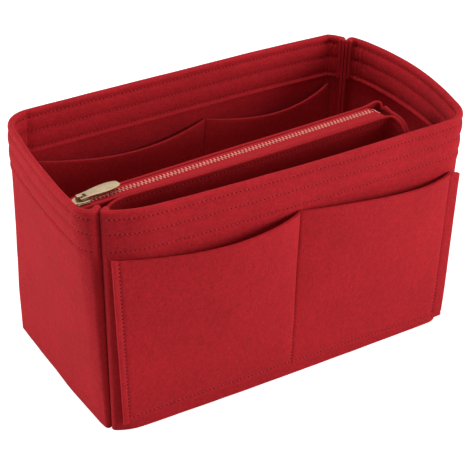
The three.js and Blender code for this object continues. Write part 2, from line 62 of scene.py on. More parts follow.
hem_corner_cut = 22 * mm
hem_crease = 1.4 * mm
hem_crease_width = 1.6 * mm
hem_flare = 0.6 * mm
hem_flare_height = 1.6 * mm
hem_pleat = 0.5 * mm
hem_pleat_spacing = 4.4 * mm
hem_pleat_fade = 7 * mm
hem_pleats_start, hem_pleats_fade_in = 10 * mm, 3 * mm
hem_pleats_end, hem_pleats_fade_out = 26 * mm, 6 * mm
hem_corner_passes = 24
hem_press_share = 0.45
seam_hold = 30 * mm
slow_ripple, slow_ripple_waves = 0.7 * mm, 14
quick_ripple, quick_ripple_waves = 0.25 * mm, 45
stitch_press = 1.1 * mm
band_swell_outside = 0.8 * mm
band_swell_inside = 1 * mm
band_swell_fade = 3 * mm
under_band_reach = 4 * mm
under_band_step = 0.4 * mm
steps_per_turn = 8
steps_per_corner = 22
steps_per_long_wall = 92
steps_per_bend = 16
steps_per_end_wall = 48
rows_per_felt_part = 34
steps_per_fold = 6

# Places in plan are shares of half the length and half the width, at the base and at the rim
front_left_seam = {"base": (0.947, 0.845), "rim": (0.8934, 0.8025)}
back_right_seam = {"base": (0.967, 0.896), "rim": (0.925, 0.856)}
front_walls = {
    "start": {"seam": front_left_seam, "radius": (3.2 * mm, 4 * mm), "trim": (0.05, 0.14), "ease": 0.5,
              "spread": front_left_spread},
    "wall_start": {"base": (0.889, 0.9817), "rim": (0.874, 0.964)},
    "wall_bow": {"base": (-0.2, 1.012), "rim": (-0.2, 1.0475)},
    "bend_start": {"base": (0.91, 0.963), "rim": (0.825, 0.934)},
    "bend_corner": {"base": (0.988, 0.955), "rim": (0.937, 0.893)},
    "bend_end": {"base": (0.997, 0.8), "rim": (0.965, 0.6375)},
    "end_bow": {"base": (1, 0.15), "rim": (1.095, 0.1375)},
    "end_finish": {"base": (1.0007, 0.8237), "rim": (0.995, 0.7624)},
    "finish": {"seam": back_right_seam, "radius": (2.4 * mm, 4.6 * mm), "trim": (0.95, 0.93), "ease": 0.5,
               "spread": back_right_spread},
}
back_walls = {
    "start": {"seam": back_right_seam, "radius": (3.2 * mm, 3.4 * mm), "trim": (0.05, 0.02), "ease": 0.3,
              "spread": back_right_spread},
    "wall_start": {"base": (0.9073, 0.9967), "rim": (0.884, 1.03)},
    "wall_bow": {"base": (-0.2, 1), "rim": (-0.38, 1.035)},
    "bend_start": {"base": (0.95, 1), "rim": (0.8055, 0.93)},
    "bend_corner": {"base": (1.005, 1.005), "rim": (0.935, 0.898)},
    "bend_end": {"base": (1, 0.92), "rim": (0.948, 0.56)},
    "end_bow": {"base": (1.008, 0.15), "rim": (1.001, 0.1106)},
    "end_finish": {"base": (0.985, 0.76), "rim": (0.984, 0.7449)},
    "finish": {"seam": front_left_seam, "radius": (2.4 * mm, 6 * mm), "trim": (0.95, 0.94), "ease": 0.5,
               "spread": front_left_spread},
}


def lerp(start, end, share):
    return start + (end - start) * share


def eased(share):
    share = min(max(share, 0), 1)
    return share * share * (3 - 2 * share)


def place_at(shares, height, sign_x, sign_y):
    rise = height / wall_height
    x = lerp(shares["base"][0] * base_length, shares["rim"][0] * rim_length, rise) / 2
    y = lerp(shares["base"][1] * base_width, shares["rim"][1] * rim_width, rise) / 2
    return Vector((sign_x * x, sign_y * y))


def curve_point(curve, share):
    start, control, end = curve
    return lerp(lerp(start, control, share), lerp(control, end, share), share)


def curve_ahead(curve, share):
    start, control, end = curve
    return lerp(control - start, end - control, share).normalized()


def left_of(ahead):
    return Vector((-ahead.y, ahead.x))


def long_wall(walls, height):
    return (place_at(walls["wall_start"], height, -1, -1), place_at(walls["wall_bow"], height, 1, -1),
            place_at(walls["bend_start"], height, 1, -1))


def wall_bend(walls, height):
    return tuple(place_at(walls[key], height, 1, -1) for key in ("bend_start", "bend_corner", "bend_end"))


def end_wall(walls, height):
    return (place_at(walls["bend_end"], height, 1, -1), place_at(walls["end_bow"], height, 1, 1),
            place_at(walls["end_finish"], height, 1, 1))


def curve_run(curve, steps, first=0, last=1):
    return [curve_point(curve, lerp(first, last, step / steps)) for step in range(steps)]


# A panel's end: it leaves its wall, eases round the corner and turns in along the seam. The points
# run from the seam outwards, and way is 1 where the panel starts and -1 where it finishes.
def panel_end(end, wall, height, way):
    rise = height / wall_height
    radius = lerp(*end["radius"], rise)
    trim = lerp(*end["trim"], rise)
    inwards = Vector((1, 1)).normalized() * seam_allowance * way
    seam_place = place_at(end["seam"], height, -way, -way)
    centre = seam_place + Vector((1, -1)).normalized() * (seam_gap / 2 + radius)
    leaving = curve_point(wall, trim)
    handle = leaving - curve_ahead(wall, trim) * way * end["ease"] * (leaving - centre).length
    reach = handle - centre
    seam_angle = math.radians(135)
    touch_angle = math.atan2(reach.y, reach.x) - way * math.acos(radius / reach.length)
    if way > 0 and touch_angle < seam_angle:
        touch_angle += 2 * math.pi
    angles = [lerp(seam_angle, touch_angle, step / steps_per_turn) for step in range(steps_per_turn + 1)]
    turn = [centre + radius * Vector((math.cos(angle), math.sin(angle))) for angle in angles]
    corner = curve_run((turn[-1], handle, leaving), steps_per_corner)
    tip = turn[0] + inwards + Vector((1, -1)).normalized() * end["spread"]
    return [tip, turn[0] + inwards * tip_point_share, *turn[:-1], *corner]


# The outside face of one whole wrap panel at one height
def wrap_run(walls, height):
    rise = height / wall_height
    wall = long_wall(walls, height)
    end = end_wall(walls, height)
    start_trim = lerp(*walls["start"]["trim"], rise)
    finish_trim = lerp(*walls["finish"]["trim"], rise)
    return [
        *panel_end(walls["start"], wall, height, 1),
        *curve_run(wall, steps_per_long_wall, start_trim, 1),
        *curve_run(wall_bend(walls, height), steps_per_bend),
        *curve_run(end, steps_per_end_wall, 0, finish_trim),
        curve_point(end, finish_trim),
        *reversed(panel_end(walls["finish"], end, height, -1)),
    ]


# Unit normals of a run of plan points, to the left of its direction of travel
def left_normals(points):
    normals = []
    for index, point in enumerate(points):
        before = points[max(index - 1, 0)]
        after = points[min(index + 1, len(points) - 1)]
        arriving = (point - before).normalized()
        leaving = (after - point).normalized()
        normals.append(left_of((arriving + leaving).normalized()))
    return normals


def travelled_along(places):
    distances = [0]
    for here, there in zip(places, places[1:]):
        distances.append(distances[-1] + (there - here).length)
    return distances


# Slow unevenness of a felt wall, as a distance along its normal
def felt_ripple(place):
    slow = noise.noise(place * slow_ripple_waves)
    quick = noise.noise(place * quick_ripple_waves)
    return slow_ripple * slow + quick_ripple * quick


# The hem's inner layer is creased where the wall bends, and lies in small pleats beside the seams.
# Both fade out over the rim, the pleats already below it.
def hem_fold(depth, height, from_seam, from_bend):
    inside = eased((depth - felt_thickness) / (hem_thickness - felt_thickness * 1.5))
    beside_seam = eased((from_seam - hem_pleats_start) / hem_pleats_fade_in)
    beside_seam *= 1 - eased((from_seam - hem_pleats_end) / hem_pleats_fade_out)
    below_rim = eased((wall_height - height - felt_thickness) / hem_pleat_fade)
    pleats = hem_pleat * math.cos(2 * math.pi * from_seam / hem_pleat_spacing) * beside_seam * below_rim
    return (pleats - hem_crease * math.exp(-((from_bend / hem_crease_width) ** 2))) * inside ** 2


# The middle line of a wrap panel's felt at a height and depth, in its real place. Near the seams the
# unevenness fades, because the panels are held against each other, and the stiff hem cuts the corner.
def wrap_line(walls, sign, height, depth, step=0):
    points = wrap_run(walls, height)
    travelled = travelled_along(points)
    from_seams = [min(distance, travelled[-1] - distance) for distance in travelled]
    normals = left_normals(points)
    middles = []
    for point, normal, from_seam in zip(points, normals, from_seams):
        real = Vector((sign * point.x, sign * point.y, height))
        unevenness = (step + felt_ripple(real)) * eased(from_seam / seam_hold)
        middles.append(real + Vector((sign * normal.x, sign * normal.y, 0)) * (depth + unevenness))
    outwards = [Vector((-sign * normal.x, -sign * normal.y, 0)) for normal in normals]
    if depth > felt_thickness:
        for _ in range(hem_corner_passes):
            for index in range(1, len(middles) - 1):
                if from_seams[index] < hem_corner_cut:
                    middles[index] = (middles[index - 1] + middles[index] * 2 + middles[index + 1]) / 4
        bend = travelled[2 + steps_per_turn + steps_per_corner + steps_per_long_wall]
        for index, from_seam in enumerate(from_seams):
            middles[index] -= outwards[index] * hem_fold(depth, height, from_seam, travelled[index] - bend)
    return list(zip(middles, outwards))


# How far a row of stitches presses the felt at a distance from it, from 0 to 1
def pressed(distance):
    return math.exp(-((distance / stitch_press) ** 2))


# A piece from a finished bmesh
def piece_from(name, bm, *materials):
    mesh = bpy.data.meshes.new(name)
    bm.to_mesh(mesh)
    bm.free()
    for material in materials:
        mesh.materials.append(material)
    piece = bpy.data.objects.new(name, mesh)
    bpy.context.scene.collection.objects.link(piece)
    return piece


def thicken(piece, thickness):
    solid = piece.modifiers.new("thickness", "SOLIDIFY")
    solid.thickness = thickness
    solid.offset = 0
    solid.use_even_offset = True
    return solid


def soften(piece, width, segments, sharpest_degrees):
    edge = piece.modifiers.new("soft_edge", "BEVEL")
    edge.width = width
    edge.segments = segments
    edge.limit_method = "ANGLE"
    edge.angle_limit = math.radians(sharpest_degrees)


# A felt sheet from a flat grid. place(column, row) gives the middle of its thickness, and
# thinness(column, row) the share of the thickness that is left there.
def felt_sheet(name, columns, rows, place, thickness, material, thinness=None):
    bm = bmesh.new()
    uv_map = bm.loops.layers.uv.new("UVMap")
    bmesh.ops.create_grid(bm, x_segments=columns, y_segments=rows, size=half_unit)
    grid_places = {vert: (round((vert.co.x + half_unit) * columns), round((vert.co.y + half_unit) * rows))
                   for vert in bm.verts}
    for vert, (column, row) in grid_places.items():
        vert.co = place(column, row)
    along = travelled_along([place(column, rows // 2) for column in range(columns + 1)])
    across = travelled_along([place(columns // 2, row) for row in range(rows + 1)])
    for face in bm.faces:
        face.smooth = True
        for loop in face.loops:
            column, row = grid_places[loop.vert]
            loop[uv_map].uv = (along[column], across[row])
    thin_shares = [thinness(*grid_places[vert]) for vert in bm.verts] if thinness else []
    flat_area = sum(face.calc_area() for face in bm.faces)
    piece = piece_from(name, bm, material)
    solid = thicken(piece, thickness)
    if thin_shares:
        group = piece.vertex_groups.new(name="thickness_share")
        for index, share in enumerate(thin_shares):
            group.add([index], share, "REPLACE")
        solid.vertex_group = group.name
    soften(piece, thickness / 4, 2, 60)
    return piece, (along[-1], across[-1]), flat_area


# The steps that the materials share. Each adds a node to a node tree and gives the node's output.
def fill(tree, node, inputs):
    for key, value in inputs.items():
        if isinstance(value, bpy.types.NodeSocket):
            tree.links.new(value, node.inputs[key])
        else:
            node.inputs[key].default_value = value


def add_node(tree, kind, inputs, output, operation=None):
    node = tree.nodes.new(kind)
    if operation:
        node.operation = operation
    fill(tree, node, inputs)
    return node.outputs[output]


def cloud(tree, scale, detail=2, distortion=0):
    place = add_node(tree, "ShaderNodeTexCoord", {}, "Object")
    inputs = {"Vector": place, "Scale": scale, "Detail": detail, "Distortion": distortion}
    return add_node(tree, "ShaderNodeTexNoise", inputs, "Fac")


def spread(tree, value, low, high, first=0.3, last=0.7):
    inputs = {"Value": value, "From Min": first, "From Max": last, "To Min": low, "To Max": high}
    return add_node(tree, "ShaderNodeMapRange", inputs, "Result")


def times(tree, first, second):
    return add_node(tree, "ShaderNodeMath", {0: first, 1: second}, "Value", "MULTIPLY")


def tinted(tree, shade, color):
    return add_node(tree, "ShaderNodeVectorMath", {"Vector": color, "Scale": shade}, "Vector", "SCALE")


def bumped(tree, height, distance):
    return add_node(tree, "ShaderNodeBump", {"Height": height, "Distance": distance}, "Normal")


def new_material(name):
    material = bpy.data.materials.new(name)
    material.use_nodes = True
    return material, material.node_tree


cloudy_bump, speckled_bump, hairy_bump = 0.4 * mm, 0.35 * mm, 0.2 * mm


# Felt is matted fibre: mottled at a few centimetres, cloudy at a few millimetres, hairy at half a
# millimetre, with a soft sheen from the loose hairs.
def felt(name, color):
    material, tree = new_material(name)
    cloudy = cloud(tree, 260, 3)
    speckled = cloud(tree, 620, 2, 0.6)
    hairy = cloud(tree, 1500, 4, 1.5)
    broad_shade = times(tree, spread(tree, cloud(tree, 30), 0.94, 1.05), spread(tree, cloudy, 0.93, 1.06))
    fine_shade = times(tree, spread(tree, speckled, 0.9, 1.08), spread(tree, hairy, 0.8, 1.18))
    normal = bumped(tree, cloudy, cloudy_bump)
    for height, distance in ((speckled, speckled_bump), (hairy, hairy_bump)):
        finer = bumped(tree, height, distance)
        tree.links.new(normal, finer.node.inputs["Normal"])
        normal = finer
    fill(tree, tree.nodes["Principled BSDF"], {
        "Base Color": tinted(tree, times(tree, broad_shade, fine_shade), color),
        "Roughness": spread(tree, hairy, 0.85, 1),
        "Normal": normal,
        "Specular IOR Level": 0.14,
        "Sheen Weight": 0.1,
        "Sheen Roughness": 0.45,
        "Sheen Tint": (1, 0.3, 0.3, 1),
    })
    return material


outer_felt = felt("outer_felt", (0.5, 0.016, 0.024))
# The felt of the inside pieces is the same felt, made about a tenth darker as painted shade for the inside of
# the insert.
inner_felt_painted_shade = felt("inner_felt_painted_shade", (0.46, 0.014, 0.02))

outer_depth = felt_thickness / 2
hem_layer_depth = hem_thickness - felt_thickness / 2


# The strip's section as (depth, height), from the base up the outside, over the rim and down the hem
def wrap_section():
    fold_middle = hem_thickness / 2
    fold_radius = fold_middle - outer_depth
    fold_height = wall_height - fold_middle
    steps = rows_per_felt_part
    wall_rows = [(outer_depth, hem_edge_height * row / steps) for row in range(steps)]
    band_rows = [(outer_depth, lerp(hem_edge_height, fold_height, row / steps)) for row in range(steps)]
    angles = [math.pi * (1 - step / steps_per_fold) for step in range(steps_per_fold + 1)]
    fold_rows = [(fold_middle + fold_radius * math.cos(angle), fold_height + fold_radius * math.sin(angle))
                 for angle in angles]
    hem_rows = [(hem_layer_depth, lerp(fold_height, hem_edge_height, row / steps))
                for row in range(1, steps + 1)]
    return [*wall_rows, *band_rows, *fold_rows, *hem_rows]


def row_press(height):
    return max(pressed(height - row_height) for row_height in hem_row_heights)


# The rows of stitches pull the doubled band in, so that it swells between them in shallow arcs
def band_swell(depth, height):
    lowest = hem_edge_height - under_band_reach
    bounds = [lowest, *reversed(hem_row_heights)]
    arc = 0
    for low, high in zip(bounds, bounds[1:]):
        if low < height < high:
            share = (height - low) / (high - low)
            arc = 4 * share * (1 - share)
    above_foot = eased((height - lowest) / band_swell_fade)
    under_fold = 1 - eased((height - hem_row_heights[0]) / band_swell_fade)
    swell = band_swell_inside if depth > felt_thickness else -band_swell_outside
    return (arc - 0.5) * above_foot * under_fold * swell


# Below the hem the wall has one layer and stands a little further in than the doubled band. Under its
# lowest row of stitches the hem's cut edge flares away from the wall.
def band_step(depth, height):
    under_band = 1 - eased((height - hem_edge_height + band_swell_fade) / under_band_reach)
    flare = hem_flare * eased((hem_row_heights[-1] - height) / hem_flare_height) * (depth > felt_thickness)
    return under_band_step * under_band + band_swell(depth, height) + flare


def wrap_panel(name, walls, sign):
    section = wrap_section()
    lines = [wrap_line(walls, sign, height, depth, band_step(depth, height)) for depth, height in section]

    def place(column, row):
        return lines[row][column][0]

    columns = len(lines[0]) - 1

    def thinness(column, row):
        from_tip = min(column, columns - column)
        return 1 - hem_press_share * row_press(section[row][1]) * (from_tip > steps_per_turn)

    piece, flat, _ = felt_sheet(name, columns, len(section) - 1, place, felt_thickness, outer_felt, thinness)
    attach(piece, "organizer")
    return piece


front_wrap = wrap_panel("front_wrap_felt", front_walls, 1)
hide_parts("front_wrap_panel")
back_wrap = wrap_panel("back_wrap_felt", back_walls, -1)
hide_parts("back_wrap_panel")

# Hem stitching: three rows of red thread that go through the band all round, two of them near the rim
# and one at the turned-in edge. Each stitch is a short loop that sinks into the felt.
stitch_pitch = 2.85 * mm
stitch_length = 1.9 * mm
thread_thickness = 0.5 * mm
thread_bump = 0.1 * mm
hole_shade_size = (0.9 * mm, 0.34 * mm, 1.15 * mm)
hole_shade_sink = 0.04 * mm
hem_stitch_half_share = 0.31
hem_outside_margin = steps_per_turn
hem_inside_margin = steps_per_turn + 4


def thread(name, color):
    material, tree = new_material(name)
    twist = cloud(tree, 900)
    fill(tree, tree.nodes["Principled BSDF"], {
        "Base Color": tinted(tree, spread(tree, twist, 0.75, 1.25, 0, 1), color),
        "Roughness": 0.7,
        "Normal": bumped(tree, twist, thread_bump),
        "Specular IOR Level": 0.1,
    })
    return material


# The thread's red is its own, but its lighter tone than the felt is painted sheen where the loops catch the
# light.
red_thread_painted_sheen = thread("red_thread_painted_sheen", (0.6, 0.05, 0.06))
# The needle holes are near-black spots of painted shade, where the thread dives into the felt.
needle_hole_painted_shade = thread("needle_hole_painted_shade", (0.07, 0.002, 0.003))


# One stitch along Z with a spot of painted shade for its needle hole at its end, and Y pointing out of the
# felt
bm = bmesh.new()
for spot, size, finish in (((0, 0, 0), (thread_thickness, thread_thickness, stitch_length), 0),
                           ((0, hole_shade_sink, stitch_pitch / 2), hole_shade_size, 1)):
    place = Matrix.Translation(spot) @ Matrix.Diagonal((*size, 1))
    made = bmesh.ops.create_uvsphere(bm, u_segments=6, v_segments=4, radius=half_unit, matrix=place)["verts"]
    for face in {face for vert in made for face in vert.link_faces}:
        face.material_index = finish
stitch_shape = bpy.data.meshes.new("stitch")
bm.to_mesh(stitch_shape)
bm.free()


# Adds a row of stitches along a line of (place, outwards) pairs
def sew(bm, line):
    places = [place for place, _ in line]
    travelled = travelled_along(places)
    index = 0
    for stitch in range(int(travelled[-1] / stitch_pitch)):
        distance = (stitch + 0.5) * stitch_pitch
        while travelled[index + 1] < distance:
            index += 1
        share = (distance - travelled[index]) / (travelled[index + 1] - travelled[index])
        middle = lerp(places[index], places[index + 1], share)
        ahead = (places[index + 1] - places[index]).normalized()
        aside = ahead.cross(line[index][1]).normalized()
        axes = Matrix((aside, aside.cross(ahead), ahead)).transposed().to_4x4()
        loop = stitch_shape.copy()
        loop.transform(Matrix.Translation(middle) @ axes)
        bm.from_mesh(loop)
        bpy.data.meshes.remove(loop)


def stitching(name, lines):
    bm = bmesh.new()
    for line in lines:
        sew(bm, line)
    for face in bm.faces:
        face.smooth = True
    piece = piece_from(name, bm, red_thread_painted_sheen, needle_hole_painted_shade)
    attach(piece, "organizer")


def flipped(line):
    return [(place, -outwards) for place, outwards in line]


for name, walls, sign in (("front_hem_stitching", front_walls, 1), ("back_hem_stitching", back_walls, -1)):
    lines = []
    for height in hem_row_heights:
        pressed_half = felt_thickness * hem_stitch_half_share
        outside_step = band_step(outer_depth, height)
        inside_step = band_step(hem_layer_depth, height)
        outside = wrap_line(walls, sign, height, outer_depth - pressed_half, outside_step)
        inside = wrap_line(walls, sign, height, hem_layer_depth + pressed_half, inside_step)
        lines.append(outside[hem_outside_margin:-hem_outside_margin])
        lines.append(flipped(inside[hem_inside_margin:-hem_inside_margin]))
    stitching(name, lines)

# Base: one felt panel sewn inside the foot of the walls, and cut to their inner faces, with its corners
# rounded at the bends and cut off at the two seams.
base_steps = 120
base_rows = 72


# The walls' inner faces at the foot, as angle and reach round the middle, without the seams' turned ends
def foot_of_walls():
    foot = []
    for walls, sign in ((front_walls, 1), (back_walls, -1)):
        line = wrap_line(walls, sign, felt_thickness / 2, felt_thickness)
        for place, _ in line[steps_per_turn + 2:-steps_per_turn - 2]:
            foot.append((math.atan2(place.y, place.x), place.to_2d().length - sewn_gap))
    foot.sort()
    (first_angle, first_reach), (last_angle, last_reach) = foot[0], foot[-1]
    return [(last_angle - 2 * math.pi, last_reach), *foot, (first_angle + 2 * math.pi, first_reach)]


wall_foot = foot_of_walls()


def foot_reach(angle):
    for (low, near), (high, far) in zip(wall_foot, wall_foot[1:]):
        if low <= angle <= high and low < high:
            return lerp(near, far, (angle - low) / (high - low))


def base_place(column, row):
    across_share = column / base_steps * 2 - 1
    deep_share = row / base_rows * 2 - 1
    angle = math.atan2(deep_share * base_width, across_share * base_length)
    reach = foot_reach(angle) * max(abs(across_share), abs(deep_share))
    return Vector((reach * math.cos(angle), reach * math.sin(angle), felt_thickness / 2))


base, flat, area = felt_sheet("base_felt", base_steps, base_rows, base_place, felt_thickness, inner_felt_painted_shade)
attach(base, "organizer")
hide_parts("base_panel")

# Outside pockets: one felt patch on the front wall, sewn at its sides, along its bottom and down a
# divider, so that it makes two pockets. Both sag a little at the top, and belly out.
front_pocket = {
    "floor": (7.4 * mm, 4.4 * mm),
    "floor_bow": 3.3 * mm,
    "divider_share": 0.555,
    "left": {"sides": (132.8 * mm, 132.6 * mm), "dip": (5 * mm, 0.5), "belly": (8 * mm, 0.7)},
    "right": {"sides": (132.6 * mm, 125 * mm), "dip": (3.1 * mm, 0.78), "belly": (7 * mm, 0.55)},
}
pocket_left_lip = 4 * mm
pocket_right_lip = 8.5 * mm
pocket_lip_slope = 0.35
pocket_edge_slope = 2 * mm
pocket_edge_thin_share = 0.65
pocket_bottom_seam = 4 * mm
pocket_press_share = 0.5
pocket_stitch_depth_share = 0.25
pocket_dip_fullness = 0.9
pocket_belly_fullness = 0.62
pocket_reach = 240 * mm
pocket_rise = 120 * mm
pocket_stitch_steps = 60
divider_stitch_steps = 30
front_pocket_steps = 96
inner_pocket_steps = 90
rise_steps = 40
near_line_shares = (0, 0.35, 0.7, 1.1, 1.7)
near_spacing_share = 0.25


# A swell that is 0 at both ends and 1 at its peak share
def swell_at(across, peak_share, fullness):
    power = math.log(1 / 2) / math.log(peak_share)
    return max(math.sin(math.pi * across ** power), 0) ** fullness


# The top and the belly of a pocket panel at a share of the way along the wall
def pocket_there(pocket, share):
    on_left = share < pocket["divider_share"]
    half = pocket["left" if on_left else "right"]
    start, end = (0, pocket["divider_share"]) if on_left else (pocket["divider_share"], 1)
    across = min(max((share - start) / (end - start), 0), 1)
    dip, dip_peak_share = half["dip"]
    belly, belly_peak_share = half["belly"]
    top = lerp(*half["sides"], across) - dip * swell_at(across, dip_peak_share, pocket_dip_fullness)
    return top, belly * swell_at(across, belly_peak_share, pocket_belly_fullness)


def floor_at(pocket, share):
    bow = pocket["floor_bow"] * math.sqrt(max(math.sin(math.pi * share), 0))
    return lerp(*pocket["floor"], share) + bow


def belly_at(pocket, share, height, top, belly):
    floor = floor_at(pocket, share)
    rise = (height - floor) / (top - floor)
    return belly * (rise + math.sin(math.pi / 2 * rise)) / 2


# Shares of the way along a patch, evenly spaced and closer together near its lines of stitches
def shares_near(first, last, steps, lines, reach):
    even = [lerp(first, last, step / steps) for step in range(steps + 1)]
    close = [line + way * reach * nearness for line in lines for way in (-1, 1)
             for nearness in near_line_shares]
    spacing = reach * near_spacing_share
    inside = sorted(share for share in close if first + spacing < share < last - spacing)
    kept = [share for share in even if all(abs(share - other) > spacing for other in inside)]
    shares = [first]
    for share in sorted(kept + inside):
        if share > shares[-1] + spacing / 2:
            shares.append(share)
    shares[-1] = last
    return shares


# The patch's cut bottom edge is pressed thin: the share of the thickness that is gone there
def edge_thinned(along, height):
    from_edge = height - floor_at(front_pocket, min(max(along, 0), 1))
    return pocket_edge_thin_share * (1 - eased(from_edge / pocket_edge_slope))


# The patch's outer face at a share along the wall and a height, and the way out from it
def front_pocket_face(along, height, sunk=0):
    wall_share = min(max(along, 0), 1)
    top, belly = pocket_there(front_pocket, wall_share)
    wall = long_wall(front_walls, height)
    ahead = curve_ahead(wall, wall_share)
    point = curve_point(wall, wall_share) + ahead * (along - wall_share) * pocket_reach
    outwards = -left_of(ahead)
    ripple = felt_ripple(Vector((point.x, point.y, height)))
    depth = sewn_gap + felt_thickness * (1 - edge_thinned(wall_share, height) / 2) - sunk - ripple
    depth += belly_at(front_pocket, wall_share, height, top, belly)
    point = point + outwards * depth
    return Vector((point.x, point.y, height)), Vector((outwards.x, outwards.y, 0))


front_pocket_lines = [0, front_pocket["divider_share"], 1]
front_pocket_ends = (-pocket_left_lip / pocket_reach, 1 + pocket_right_lip / pocket_reach)
front_pocket_shares = shares_near(*front_pocket_ends, front_pocket_steps, front_pocket_lines,
                                  stitch_press / pocket_reach)
pocket_rise_shares = shares_near(0, 1, rise_steps, [0, pocket_bottom_seam / pocket_rise],
                                 stitch_press / pocket_rise)


# The lips beyond the side stitches slope: the left one stands up and the right one hangs
def pocket_height(pocket, along, rise_share):
    share = min(max(along, 0), 1)
    top, _ = pocket_there(pocket, share)
    lip = (share - along) * pocket_reach * pocket_lip_slope
    return lerp(floor_at(pocket, share), top + lip, rise_share)


def pocket_patch(name, pocket, face, shares, material, thinned_at):
    def place_in(column, row):
        return shares[column], pocket_height(pocket, shares[column], pocket_rise_shares[row])

    def place(column, row):
        return face(*place_in(column, row), felt_thickness / 2)[0]

    def thinness(column, row):
        return 1 - thinned_at(*place_in(column, row))

    return felt_sheet(name, len(shares) - 1, len(pocket_rise_shares) - 1, place, felt_thickness, material,
                      thinness)


def front_pocket_thinned(along, height):
    nearest_line = min(abs(along - line) for line in front_pocket_lines) * pocket_reach
    from_bottom = abs(height - floor_at(front_pocket, along) - pocket_bottom_seam)
    sewn = pocket_press_share * max(pressed(nearest_line), pressed(from_bottom))
    return max(sewn, edge_thinned(along, height))


pocket_piece, flat, _ = pocket_patch("front_pocket_felt", front_pocket, front_pocket_face,
                                     front_pocket_shares, outer_felt, front_pocket_thinned)
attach(pocket_piece, "organizer")
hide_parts("front_pocket_panel")


# The stitches of a patch: up it at each of its lines, and along its bottom
def pocket_stitching(name, pocket, face, upright_lines):
    sunk = felt_thickness * pocket_stitch_depth_share
    lines = []
    for along in upright_lines:
        top, _ = pocket_there(pocket, along)
        bottom = floor_at(pocket, along) + pocket_bottom_seam
        lines.append([face(along, lerp(bottom, top, step / divider_stitch_steps), sunk)
                      for step in range(divider_stitch_steps + 1)])
    shares = [step / pocket_stitch_steps for step in range(pocket_stitch_steps + 1)]
    lines.append([face(share, floor_at(pocket, share) + pocket_bottom_seam, sunk) for share in shares])
    stitching(name, lines)


pocket_stitching("front_pocket_stitching", front_pocket, front_pocket_face, front_pocket_lines)

# Inside pockets: the same kind of patch on the inside of the back wall. It is level at the bottom, and
# sewn near its sides, along its bottom and down a divider.
inner_pocket = {
    "floor": (4 * mm, 4 * mm),
    "floor_bow": 0,
    "divider_share": 0.53,
    "left": {"sides": (128.3 * mm, 123.5 * mm), "dip": (8.5 * mm, 0.5), "belly": (7 * mm, 0.5)},
    "right": {"sides": (123.5 * mm, 127.7 * mm), "dip": (8.5 * mm, 0.5), "belly": (7 * mm, 0.5)},
}
inner_pocket_gap = 0.5 * mm
inner_pocket_lines = [0.016, inner_pocket["divider_share"], 0.984]
inner_pocket_shares = shares_near(0, 1, inner_pocket_steps, inner_pocket_lines, stitch_press / pocket_reach)


def inner_pocket_face(along, height, sunk=0):
    top, belly = pocket_there(inner_pocket, along)
    wall = long_wall(back_walls, height)
    inwards = left_of(curve_ahead(wall, along))
    point = curve_point(wall, along)
    ripple = felt_ripple(Vector((-point.x, -point.y, height)))
    depth = 2 * felt_thickness + sewn_gap + inner_pocket_gap - sunk + ripple
    depth += belly_at(inner_pocket, along, height, top, belly)
    point = point + inwards * depth
    return Vector((-point.x, -point.y, height)), Vector((-inwards.x, -inwards.y, 0))


def inner_pocket_thinned(along, height):
    nearest_line = min(abs(along - line) for line in inner_pocket_lines)
    return pocket_press_share * pressed(nearest_line * pocket_reach)


inner_piece, flat, _ = pocket_patch("back_inner_pocket_felt", inner_pocket, inner_pocket_face,
                                    inner_pocket_shares, inner_felt_painted_shade, inner_pocket_thinned)
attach(inner_piece, "organizer")
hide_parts("back_inner_pocket_panel")
pocket_stitching("inner_pocket_stitching", inner_pocket, inner_pocket_face, inner_pocket_lines)

# Zip compartment: two felt panels that stand across the middle, joined at the right in a flange.
# The front one runs from the front left seam and the back one from the left end wall.
zip_height = 149.5 * mm
zip_middle = Vector((-10.5 * mm, -24.3 * mm))
zip_yaw = math.radians(4.1)
compartment_lean = 22 * mm
compartment_back_reach = 6.5 * mm
compartment_right_x = rim_length / 2 - 37.5 * mm
compartment_flange = 19 * mm
compartment_bend = 6 * mm
compartment_back_bend = 3 * mm
compartment_corner_run = 26 * mm
compartment_turn_share = 0.3
compartment_wall_share = 0.6
compartment_corner_steps = 14
compartment_line_steps = 62
compartment_bend_steps = 6
compartment_back_line_steps = 70
compartment_back_flange_steps = 24
compartment_floor = felt_thickness + sewn_gap
compartment_top = zip_height + 0.6 * mm
compartment_stitch_drop = 3.6 * mm
compartment_seam_x = -123.7 * mm
compartment_height = 147 * mm
compartment_press_share = 0.4
compartment_stitch_share = 0.3
compartment_ripple_share = 0.6
front_reaches = (8 * mm, 12 * mm)
front_reach_start, front_reach_run = -100 * mm, 105 * mm
peak_height, peak_width = 2.1 * mm, 8 * mm
notch_depth, notch_place, notch_width = 4 * mm, 4 * mm, 1.5 * mm
seam_rise, seam_rise_start, seam_rise_run = 9 * mm, 13 * mm, 12 * mm
height_step = 0.01 * mm


def zip_line_y(x, height):
    set_back = compartment_lean * (1 - height / zip_height)
    return zip_middle.y + (x - zip_middle.x) * math.tan(zip_yaw) + set_back


# The front panel bows out: it is close to the zip at the left and further from it at the right
def front_reach(x):
    share = min(max((x - front_reach_start) / front_reach_run, 0), 1)
    return lerp(*front_reaches, math.sin(math.pi / 2 * share))


def flange_tip_y(height):
    return zip_line_y(compartment_right_x, height) - front_reach(compartment_right_x) - compartment_flange


